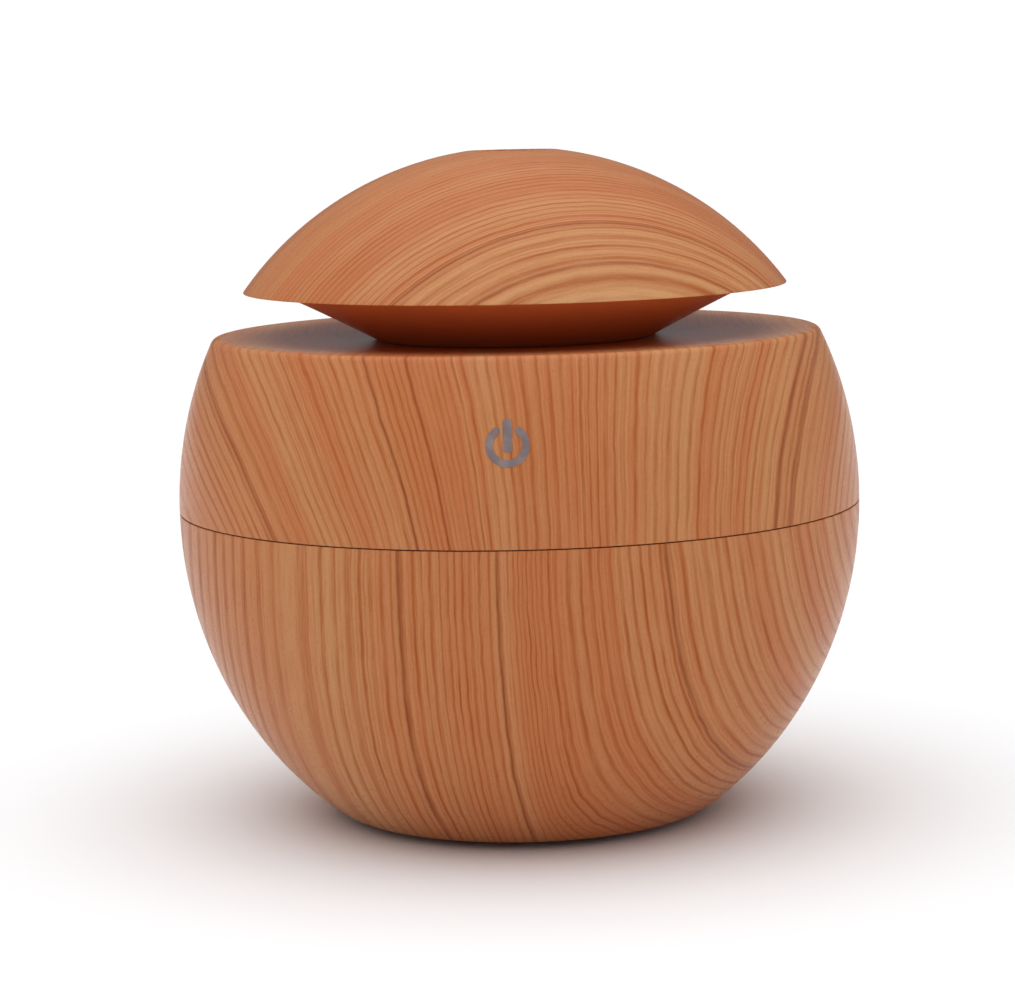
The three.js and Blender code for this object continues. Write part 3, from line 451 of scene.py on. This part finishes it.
def wood_print(name, film, pitch, waves, tight, accents, depth=1.0, fine=0.4):
    """Satin plastic with growth rings along the lines of a stretched film.

    film gives the place across and along the grain in mm and the strength of the print;
    pitch is the mean ring width; waves are (size, length, phase) swings of the ring count;
    tight are (start, end, rings) bands of narrow rings; accents are (place, width) of heavy ones;
    depth is the strength of all lines, and fine that of the lines between the rings."""
    n = Nodes(name)
    across, along, strength = film(n)
    place = wandering(n, across)
    phase = ring_phase(n, place, pitch, waves, tight)
    line, ring = ring_lines(n, phase, 0.0)
    thin_line, _ = ring_lines(n, n.product(phase, 2.63), 40.3)
    fade = n.noise(n.vector(n.product(place, 1.1), n.product(along, 0.07), 9.0), 1.0, 2.0, 0.6)
    line = n.product(line, n.ramp(fade, 0.32, 0.58, 0.50, 1.0))

    fibre = n.noise(n.vector(n.product(place, 4.2), n.product(along, 0.16), 0.0), 1.0, 3.0, 0.65)
    hair = n.noise(n.vector(n.product(place, 8.0), n.product(along, 0.22), 5.0), 1.0, 2.0, 0.6)
    mottle = n.noise(n.coords, 2600, 2.0, 0.6)
    band = n.noise_1d(place, 0.16, 2.0)
    ink_share = n.product(n.ramp(fibre, 0.25, 0.60, 0.62, 1.0), strength, depth)
    thin_share = n.ramp(band, 0.40, 0.62, fine * 0.3, fine)

    tone = early_wood(n, place, ring, band, density(n, place, tight))
    tone = n.mix(n.product(n.ramp(fibre, 0.42, 0.78), ink_share, 0.30), tone, RING_WOOD)
    tone = n.mix(n.product(thin_line, thin_share, ink_share), tone, RING_WOOD)
    tone = n.mix(n.product(line, ink_share, 0.92), tone, RING_WOOD)
    tone = n.mix(n.product(n.ramp(hair, 0.60, 0.78), line, ink_share, 0.9), tone, VEIN_WOOD)
    tone = n.mix(n.product(veins(n, place, accents), ink_share, 0.80), tone, VEIN_WOOD)
    tone = n.mix(n.ramp(mottle, 0.30, 0.70, 0.0, 0.10), tone, RING_WOOD)
    return n.finish(tone, film_relief(n, line, strength), Specular_IOR_Level=0.10)


# ---------------------------------------------------------------- other materials
def moulded(name, color, roughness, grain=1400, depth=0.03, variation=0.06, wear=0.07, **constants):
    """Moulded plastic: a spark-eroded grain of some depth in mm, faint flow clouds, handling marks."""
    n = Nodes(name)
    cloud = n.noise(n.coords, 45, 3.0, 0.6)
    speck = n.noise(n.coords, grain, 2.0, 0.6)
    darker = tuple(value * (1 - variation * 2) for value in color)
    lighter = tuple(min(1.0, value * (1 + variation)) for value in color)
    tone = n.mix(n.ramp(cloud, 0.3, 0.7), darker, lighter)
    handled = n.noise(n.coords, 160, 4.0, 0.7)
    rough = n.ramp(handled, 0.3, 0.7, roughness - wear, roughness + wear)
    n.bump(n.total(speck, n.product(cloud, 0.4)), depth * MM, 0.6)
    return n.finish(tone, rough, **constants)


def metal_finish(name, color, roughness, scale=(1, 1, 18), **constants):
    """Bare or plated metal with drawn marks along one way and small stains."""
    n = Nodes(name)
    mapping = n.add("ShaderNodeMapping")
    n.feed(mapping.inputs["Vector"], n.coords)
    mapping.inputs["Scale"].default_value = scale
    drawn = n.noise(mapping.outputs[0], 420, 3.0, 0.65)
    stain = n.noise(n.coords, 120, 4.0, 0.6)
    dull = tuple(value * 0.72 for value in color)
    tone = n.mix(n.ramp(stain, 0.35, 0.75), color, dull)
    rough = n.ramp(drawn, 0.3, 0.7, roughness - 0.07, roughness + 0.12)
    n.bump(drawn, 0.02 * MM, 0.5)
    return n.finish(tone, rough, Metallic=1.0, **constants)


def cells(n, x, y, spacing, **settings):
    """Distance within scattered cells that are some spacing in mm apart."""
    node = n.add("ShaderNodeTexVoronoi", feature="F1", **settings)
    n.feed(node.inputs["Vector"], n.vector(n.product(x, 1 / spacing), n.product(y, 1 / spacing)))
    node.inputs["Scale"].default_value = 1.0
    return node


def circuit_board(name, color, trace):
    """Solder mask over copper: a lattice of traces, pads and a woven base showing through."""
    n = Nodes(name)
    x, y, z = n.millimetres()
    y = n.math("ADD", y, z)
    cell = cells(n, x, y, 2.38, distance="CHEBYCHEV")
    cell.inputs["Randomness"].default_value = 0.75
    edge = n.math("PINGPONG", n.product(cell.outputs["Distance"], 6.0), 0.5)
    tracks = n.ramp(edge, 0.30, 0.36)
    pads = cells(n, x, y, 2.78)
    dots = n.ramp(pads.outputs["Distance"], 0.17, 0.14, 0.0, 1.0)
    weave_x = n.math("SINE", n.product(x, 14.0))
    weave_y = n.math("SINE", n.product(y, 14.0))
    weave = n.product(weave_x, weave_y)
    tone = n.mix(n.product(tracks, 0.75), color, trace)
    tone = n.mix(dots, tone, linear(205, 208, 210))
    n.bump(n.total(n.product(tracks, 0.5), dots, n.product(weave, 0.05)), 0.05 * MM, 0.6)
    return n.finish(tone, n.ramp(n.noise(n.coords, 300, 2.0), 0.3, 0.7, 0.28, 0.42), Coat_Weight=0.3)


def milky_plastic(name):
    """Translucent tank plastic with flow clouds and fine scuffs."""
    n = Nodes(name)
    cloud = n.noise(n.coords, 60, 3.0, 0.6)
    scuff = n.noise(n.coords, 700, 4.0, 0.7)
    tone = n.mix(n.ramp(cloud, 0.3, 0.7), linear(214, 222, 224), linear(236, 240, 240))
    n.bump(scuff, 0.03 * MM, 0.4)
    rough = n.ramp(scuff, 0.3, 0.7, 0.18, 0.36)
    return n.finish(tone, rough, Subsurface_Weight=0.35, Subsurface_Radius=(4 * MM, 4 * MM, 4 * MM))


def ink(name):
    """Thin grey printing ink, worn in small specks."""
    n = Nodes(name)
    speck = n.noise(n.coords, 2600, 3.0, 0.7)
    cloud = n.noise(n.coords, 500, 2.0)
    tone = n.mix(n.ramp(cloud, 0.3, 0.7), linear(120, 104, 104), linear(140, 124, 122))
    n.bump(speck, 0.02 * MM, 0.5)
    return n.finish(tone, n.ramp(speck, 0.3, 0.7, 0.42, 0.55))


def rubber_finish(name, color, roughness):
    return moulded(name, color, roughness, grain=900, depth=0.05, variation=0.12)


WOOD_LOWER = wood_print(
    "wood_bowl", bowl_film, 1.55, [(0.25, 19.5, 0.6)],
    [(-42.0, -22.0, -4.0), (-16.0, -3.0, 3.0), (-2.2, 5.2, 4.4), (5.0, 18.0, 1.4)],
    [(-16.6, 0.30), (-3.0, 0.26), (19.4, 0.28)])
WOOD_UPPER = wood_print(
    "wood_upper", upper_film, 1.30, [(0.8, 52.0, 2.1), (0.22, 17.0, 1.7)],
    [(-14.0, -3.0, 5.0), (2.0, 16.0, 2.5)],
    [(-34.0, 0.30), (-13.8, 0.24), (-9.4, 0.18), (35.4, 0.34), (37.4, 0.30)], depth=0.84)
WOOD_DOME = wood_print(
    "wood_dome", dome_film, 0.98, [(0.4, 21.0, 0.4)], [(-52.0, -32.0, -11.0)],
    [(-36.5, 0.22), (-30.5, 0.20)], depth=0.86, fine=0.9)
SKIRT = moulded(
    "skirt_plastic", linear(228, 119, 64), 0.22, grain=260, depth=0.004, variation=0.03, wear=0.015)
MILKY = milky_plastic("tank_plastic")
IVORY = moulded("ivory_plastic", linear(226, 219, 204), 0.42)
BLACK = moulded("black_plastic", linear(34, 34, 36), 0.5, grain=1100, depth=0.05)
SILICONE = rubber_finish("silicone_seal", linear(214, 210, 202), 0.55)
RUBBER = rubber_finish("foot_rubber", linear(30, 30, 32), 0.78)
STEEL = metal_finish("zinc_steel", (0.62, 0.63, 0.65), 0.32)
BRASS = metal_finish("disc_brass", (0.78, 0.60, 0.28), 0.30)
BRONZE = metal_finish("bearing_bronze", (0.50, 0.31, 0.17), 0.45)
COPPER = metal_finish("winding_copper", (0.72, 0.33, 0.16), 0.30, scale=(1, 1, 30))
GREEN_BOARD = circuit_board("green_board", linear(22, 84, 44), linear(38, 112, 60))
WHITE_BOARD = circuit_board("white_board", linear(232, 232, 228), linear(208, 208, 204))
LENS = moulded("lamp_resin", linear(240, 232, 196), 0.15, variation=0.03, Transmission_Weight=0.4)
INK = ink("touch_ink")

SLOT_MATERIALS = {
    "wood_print": WOOD_LOWER, "skirt_print": SKIRT, "milky_plastic": MILKY, "ivory_plastic": IVORY,
    "black_plastic": BLACK, "silicone": SILICONE, "rubber": RUBBER, "steel": STEEL, "brass": BRASS,
    "bronze": BRONZE, "copper": COPPER, "green_board": GREEN_BOARD, "white_board": WHITE_BOARD,
    "lamp_lens": LENS,
}


def stands_for(piece, node):
    """The piece takes the place of a CAD node on that node's own body."""
    bodies = frame["record"]["behaviour"]["bodies"]
    body = next(name for name, members in bodies.items() if node in members)
    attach(piece, body)
    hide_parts(node)


# ---------------------------------------------------------------- housings
TONGUE_RADIUS = inner_at(SEAM_LOW) - GAP / 6


def bowl():
    cover_radius = COVER_HIGH[0]
    cover_lap = 1.5                   # how far the inner ledge reaches over the base cover
    cover_thick = 2.0
    ledge_low = COVER_LOW[2] + cover_thick + GAP
    ledge_high = ledge_low + 1.5
    bottom = LOWER_LOW[2]
    bottom_rounding = 1.1
    outline = rounded([
        (cover_radius - cover_lap, ledge_low, 0.2),
        (cover_radius + GAP, ledge_low, 0),
        (cover_radius + GAP, bottom, 0.3),
        (outer_at(bottom), bottom, bottom_rounding),
        *curve_points(outer_at, bottom + 1.2, SEAM_LOW - GAP, 44),
        (outer_at(SEAM_LOW), SEAM_LOW + SEAM_CLOSING, SEAM_ROUNDING),
        (TONGUE_RADIUS + GAP, SEAM_LOW + SEAM_CLOSING, 0.2),
        (TONGUE_RADIUS + GAP, SEAM_LOW - TONGUE_DEPTH, 0),
        *curve_points(inner_at, SEAM_LOW - TONGUE_DEPTH, ledge_high, 20),
        (cover_radius - cover_lap, ledge_high, 0.2),
    ])
    piece = from_bmesh("bowl_shell", revolve(outline), WOOD_LOWER)
    socket_nose = 4.3
    middle = (0, SOCKET_HIGH[1] + 3, (SOCKET_LOW[2] + SOCKET_HIGH[2]) / 2)
    bore_along_y(piece, socket_nose + GAP, middle, 20)
    stands_for(piece, "lower_housing")


def upper():
    inner_tongue = TONGUE_RADIUS - TONGUE_WALL
    tongue_end = SEAM_HIGH - TONGUE_DEPTH
    underside = DECK - DECK_THICK
    collar = underside - 4.3
    collar_radius = MOUTH_RADIUS + 1.6
    fillet = 1.8
    outline = rounded([
        (inner_tongue, tongue_end, 0.3),
        (TONGUE_RADIUS, tongue_end, 0.3),
        (TONGUE_RADIUS, SEAM_HIGH - SEAM_CLOSING, 0),
        (outer_at(SEAM_HIGH), SEAM_HIGH - SEAM_CLOSING, SEAM_ROUNDING),
        *curve_points(outer_at, SEAM_HIGH + GAP, DECK - fillet, 24),
        (outer_at(DECK), DECK, fillet),
        (outer_at(DECK) - fillet, DECK, 0),
        (MOUTH_RADIUS, DECK - DECK_DISH, 0.7),
        (MOUTH_RADIUS, collar, 0.4),
        (collar_radius, collar, 0.4),
        (collar_radius, underside, 0.6),
        (inner_at(underside), underside, 0),
        *curve_points(inner_at, underside - 0.5, SEAM_HIGH + 4, 12),
        (inner_tongue, SEAM_HIGH + TONGUE_WALL, 0),
    ], steps=6)
    piece = from_bmesh("upper_shell", revolve(outline), WOOD_UPPER)
    stands_for(piece, "upper_housing")


# ---------------------------------------------------------------- lid
def dome_shape():
    """Centre height and radius of the sphere through the rim and the outlet's edge."""
    rise = RIM_RADIUS ** 2 + RIM_HEIGHT ** 2 - OUTLET_RADIUS ** 2 - OUTLET_HEIGHT ** 2
    centre = rise / (2 * (RIM_HEIGHT - OUTLET_HEIGHT))
    return centre, math.hypot(RIM_RADIUS, RIM_HEIGHT - centre)


DOME_CENTRE, DOME_RADIUS = dome_shape()
DOME_INNER = DOME_RADIUS - DOME_WALL


def dome_arc(radius, start, end, steps):
    angles = [start + (end - start) * i / steps for i in range(steps + 1)]
    return [(radius * math.cos(a), DOME_CENTRE + radius * math.sin(a), 0) for a in angles]


def dome_angle(radius, height):
    return math.asin((height - DOME_CENTRE) / radius)


def dome():
    rim_angle = dome_angle(DOME_RADIUS, RIM_HEIGHT + 0.25)
    edge_angle = math.acos(OUTLET_RADIUS / DOME_RADIUS)
    edge_height = DOME_CENTRE + DOME_RADIUS * math.sin(edge_angle)
    outer_arc = dome_arc(DOME_RADIUS, rim_angle, math.acos((OUTLET_RADIUS + 0.9) / DOME_RADIUS), 46)
    inner_start = math.acos((OUTLET_RADIUS + 0.1) / DOME_INNER)
    inner_arc = dome_arc(DOME_INNER, inner_start, dome_angle(DOME_INNER, RIM_HEIGHT), 24)
    outline = rounded([
        (inner_arc[-1][0], RIM_HEIGHT, 0.15),
        (RIM_RADIUS - 0.05, RIM_HEIGHT, 0.25),
        *outer_arc,
        (OUTLET_RADIUS, edge_height, 1.1),
        (OUTLET_RADIUS, inner_arc[0][1] + 0.3, 0.3),
        *inner_arc[:-1],
    ], steps=5)
    piece = from_bmesh("lid_dome", revolve(outline), WOOD_DOME)
    stands_for(piece, "cap_dome")


def bezier(start, control, end, steps):
    points = []
    for i in range(steps + 1):
        t = i / steps
        points.append(tuple(a * (1 - t) ** 2 + b * 2 * t * (1 - t) + c * t ** 2
                            for a, b, c in zip(start, control, end)))
    return points


def skirt():
    """The lid's lower shell: a grooved spigot, a flare and a thin plate that meets the cap."""
    wall = 1.8
    flare_radius = 36.0
    flare_slope = math.radians(28)
    seat = DECK - DECK_DISH + GAP * 0.4
    inside = SPIGOT_RADIUS - 2.2
    lip = inside - 1.2
    bottom = SKIRT_LOW[2]
    groove = bottom + 2.3
    groove_high = groove + 1.4 + 2 * GAP
    groove_radius = SPIGOT_RADIUS - SEAL_GROOVE
    control = (NECK_RADIUS + (RIM_HEIGHT - seat) / math.tan(flare_slope), RIM_HEIGHT)
    under = bezier((NECK_RADIUS, seat), control, (flare_radius, RIM_HEIGHT), 26)
    inward, upward = wall * 0.42, wall * 0.91
    above = [(r - inward, z + upward) for r, z in reversed(under[1:-3])]
    plate = DOME_INNER * math.cos(dome_angle(DOME_INNER, RIM_HEIGHT)) - GAP
    outline = rounded([
        (lip, bottom, 0.2),
        (SPIGOT_RADIUS, bottom, 0.5),
        (SPIGOT_RADIUS, groove, 0.1),
        (groove_radius, groove, 0.1),
        (groove_radius, groove_high, 0.1),
        (SPIGOT_RADIUS, groove_high, 0.1),
        (SPIGOT_RADIUS, seat, 0.1),
        (NECK_RADIUS, seat, 0.06),
        *[(r, z, 0) for r, z in under[1:]],
        (plate, RIM_HEIGHT, 0.15),
        (plate - 1.4, RIM_HEIGHT + wall, 0.15),
        *[(r, z, 0) for r, z in above],
        (inside, seat + wall, 0),
        (inside, bottom + 1, 0),
        (lip, bottom + 1, 0),
    ])
    piece = from_bmesh("lid_skirt", revolve(outline), SKIRT)
    stands_for(piece, "cap_skirt")


def funnel():
    """The mist tube with its flanged funnel."""
    bottom = TUBE_LOW[2]
    top = TUBE_HIGH[2]
    flange_radius = TUBE_HIGH[0]
    flange_top = bottom + 1.5
    mouth = 13.2
    wall = 1.2
    tube_outside = OUTLET_RADIUS + wall
    throat = bottom + 12
    outline = rounded([
        (mouth, bottom, 0.3),
        (flange_radius, bottom, 0.25),
        (flange_radius, flange_top, 0.25),
        (mouth + wall, flange_top, 0.4),
        (tube_outside, throat + wall / 2, 3.0),
        (tube_outside, top, 0.3),
        (OUTLET_RADIUS, top, 0.3),
        (OUTLET_RADIUS, throat, 3.0),
    ], steps=8)
    piece = from_bmesh("mist_funnel", revolve(outline, 128), IVORY)
    stands_for(piece, "mist_tube")


def spigot_seal():
    """The silicone ring in the spigot's groove, with rounded edges."""
    low, high = node_box("lid_seal")
    inner = SPIGOT_RADIUS - SEAL_GROOVE + GAP
    rounding = 0.45
    outline = rounded([
        (inner, low[2], rounding),
        (high[0], low[2], rounding),
        (high[0], high[2], rounding),
        (inner, high[2], rounding),
    ], steps=6)
    piece = from_bmesh("spigot_seal", revolve(outline, 128), SILICONE)
    stands_for(piece, "lid_seal")


# ---------------------------------------------------------------- printed key
INK_THICK = 0.05
KEY_LEAN = 0.97                   # cosine of the wall's lean at the key


def on_wall(across, up, proud):
    """A point on the front wall of the upper housing, in metres."""
    height = KEY_HEIGHT + up * KEY_LEAN
    radius = outer_at(height) + proud
    angle = across / outer_at(KEY_HEIGHT) - math.pi / 2
    return Vector((radius * math.cos(angle), radius * math.sin(angle), height)) * MM


def strip_piece(name, rails):
    """A thin strip of ink laid on the wall between two rails of matching points."""
    work = bmesh.new()
    rows = []
    for (ax, ay), (bx, by) in zip(*rails):
        row = []
        for share in (0.0, 0.25, 0.5, 0.75, 1.0):
            across, up = ax + (bx - ax) * share, ay + (by - ay) * share
            row.append([work.verts.new(on_wall(across, up, side * INK_THICK)) for side in (1, -1)])
        rows.append(row)
    for here, there in zip(rows, rows[1:]):
        for k in range(4):
            work.faces.new((here[k][0], here[k + 1][0], there[k + 1][0], there[k][0]))
            work.faces.new((here[k + 1][1], here[k][1], there[k][1], there[k + 1][1]))
        work.faces.new((here[0][1], here[0][0], there[0][0], there[0][1]))
        work.faces.new((here[4][0], here[4][1], there[4][1], there[4][0]))
    for row in (rows[0], rows[-1]):
        for k in range(4):
            work.faces.new((row[k][0], row[k][1], row[k + 1][1], row[k + 1][0]))
    piece = from_bmesh(name, work, INK)
    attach(piece, "housing")


def round_end(past):
    """Share of the full width that is left at a share of the way through a round end."""
    return math.sqrt(max(0.0, 1 - past ** 2))


def key_ring():
    """A ring that is open at its top, with round ends."""
    radius, half_width = 2.48, 0.5
    gap_angle = math.radians(36)
    start = math.pi / 2 + gap_angle
    end = math.pi / 2 - gap_angle + 2 * math.pi
    cap = math.asin(half_width / radius)
    rails = ([], [])
    steps = 64
    for i in range(steps + 1):
        angle = start - cap + (end - start + 2 * cap) * i / steps
        past = max(start - angle, angle - end, 0.0) / cap
        width = half_width * round_end(past) + 0.02
        for rail, side in zip(rails, (1, -1)):
            reach = radius + side * width
            rail.append((reach * math.cos(angle), reach * math.sin(angle)))
    strip_piece("touch_key_ring", rails)


def key_bar():
    """An upright bar with a round top and softened lower corners."""
    low, high, half_width, corner = -0.95, 3.65, 0.63, 0.3
    rails = ([], [])
    steps = 32
    for i in range(steps + 1):
        up = low + (high - low) * i / steps
        near_top = max(0.0, up - (high - half_width)) / half_width
        near_low = max(0.0, low + corner - up) / corner
        width = half_width * round_end(near_top) - corner * (1 - round_end(near_low)) + 0.01
        rails[0].append((-width, up))
        rails[1].append((width, up))
    strip_piece("touch_key_bar", rails)


bowl()
upper()
dome()
skirt()
funnel()
key_ring()
key_bar()
spigot_seal()

slots = {row["node"]: row["material_slot"] for row in frame["record"]["subparts"]}
for name, piece in frame["nodes"].items():
    piece.data.materials.clear()
    piece.data.materials.append(SLOT_MATERIALS[slots[name]])
    shade(piece.data)


# ---------------------------------------------------------------- stage, light and camera
def studio_floor():
    size = 6.0
    corners = [(-size, -size, 0), (size, -size, 0), (size, size, 0), (-size, size, 0)]
    mesh = bpy.data.meshes.new("studio_floor")
    mesh.from_pydata(corners, [], [(0, 1, 2, 3)])
    n = Nodes("studio_paper")
    paper = n.noise(n.coords, 3.0, 2.0)
    tone = n.mix(paper, (0.895, 0.905, 0.92), (0.925, 0.935, 0.95))
    add_object("studio_floor", mesh, n.finish(tone, 0.7, Specular_IOR_Level=0.1))


def studio_world():
    """An even white tent, darker towards the front and behind; seen directly, it is plain white."""
    world = bpy.data.worlds.new("studio")
    bpy.context.scene.world = world
    world.use_nodes = True
    tree = world.node_tree
    coordinates = tree.nodes.new("ShaderNodeTexCoord")
    split = tree.nodes.new("ShaderNodeSeparateXYZ")
    tree.links.new(coordinates.outputs["Generated"], split.inputs[0])

    def ramp(axis, *values):
        node = tree.nodes.new("ShaderNodeMapRange")
        tree.links.new(split.outputs[axis], node.inputs[0])
        for socket, value in zip(node.inputs[1:], values):
            socket.default_value = value
        return node.outputs[0]

    def combined(operation, first, second):
        node = tree.nodes.new("ShaderNodeMath")
        node.operation = operation
        tree.links.new(first, node.inputs[0])
        tree.links.new(second, node.inputs[1])
        return node.outputs[0]

    front_to_side = ramp("Y", -0.95, 0.1, FRONT_LIGHT, SIDE_LIGHT)
    side_to_back = ramp("Y", 0.3, 0.85, 1.0, BACK_SHARE)
    ceiling = ramp("Z", 0.3, 0.9, 0.0, TOP_LIGHT)
    tent = combined("MAXIMUM", combined("MULTIPLY", front_to_side, side_to_back), ceiling)
    shown = tree.nodes.new("ShaderNodeMix")
    path = tree.nodes.new("ShaderNodeLightPath")
    tree.links.new(path.outputs["Is Camera Ray"], shown.inputs[0])
    tree.links.new(tent, shown.inputs[2])
    shown.inputs[3].default_value = PAPER_WHITE
    background = tree.nodes["Background"]
    tree.links.new(shown.outputs[0], background.inputs["Strength"])
    background.inputs["Color"].default_value = (1.0, 1.0, 1.0, 1.0)


def overhead_light():
    """A very broad, even light from above, which keeps the floor white to the horizon."""
    light = bpy.data.lights.new("overhead", "SUN")
    light.energy = 1.40
    light.angle = math.radians(80)
    lamp = bpy.data.objects.new("overhead", light)
    lamp.rotation_euler = (math.radians(10), math.radians(-3), 0)
    bpy.context.scene.collection.objects.link(lamp)


def camera():
    """A long lens in front and a little above, with the sensor shifted to frame the object."""
    distance = 0.450
    elevation = math.radians(7.34)
    azimuth = math.radians(1.66)
    roll = math.radians(1.26)
    target = Vector((0, 0, 50 * MM))
    level = math.cos(elevation)
    toward = Vector((level * math.sin(azimuth), -level * math.cos(azimuth), math.sin(elevation)))
    data = bpy.data.cameras.new("camera")
    data.lens = 105.8
    data.sensor_width = 36
    data.shift_x = -0.01131
    data.shift_y = -0.02084
    data.clip_start = 0.01
    view = bpy.data.objects.new("camera", data)
    view.location = target + toward * distance
    look = (-toward).to_track_quat("-Z", "Y")
    view.rotation_euler = (look.to_matrix() @ Matrix.Rotation(-roll, 3, "Z")).to_euler()
    bpy.context.scene.collection.objects.link(view)
    bpy.context.scene.camera = view


studio_floor()
studio_world()
overhead_light()
bpy.context.scene.view_settings.view_transform = "Standard"
camera()
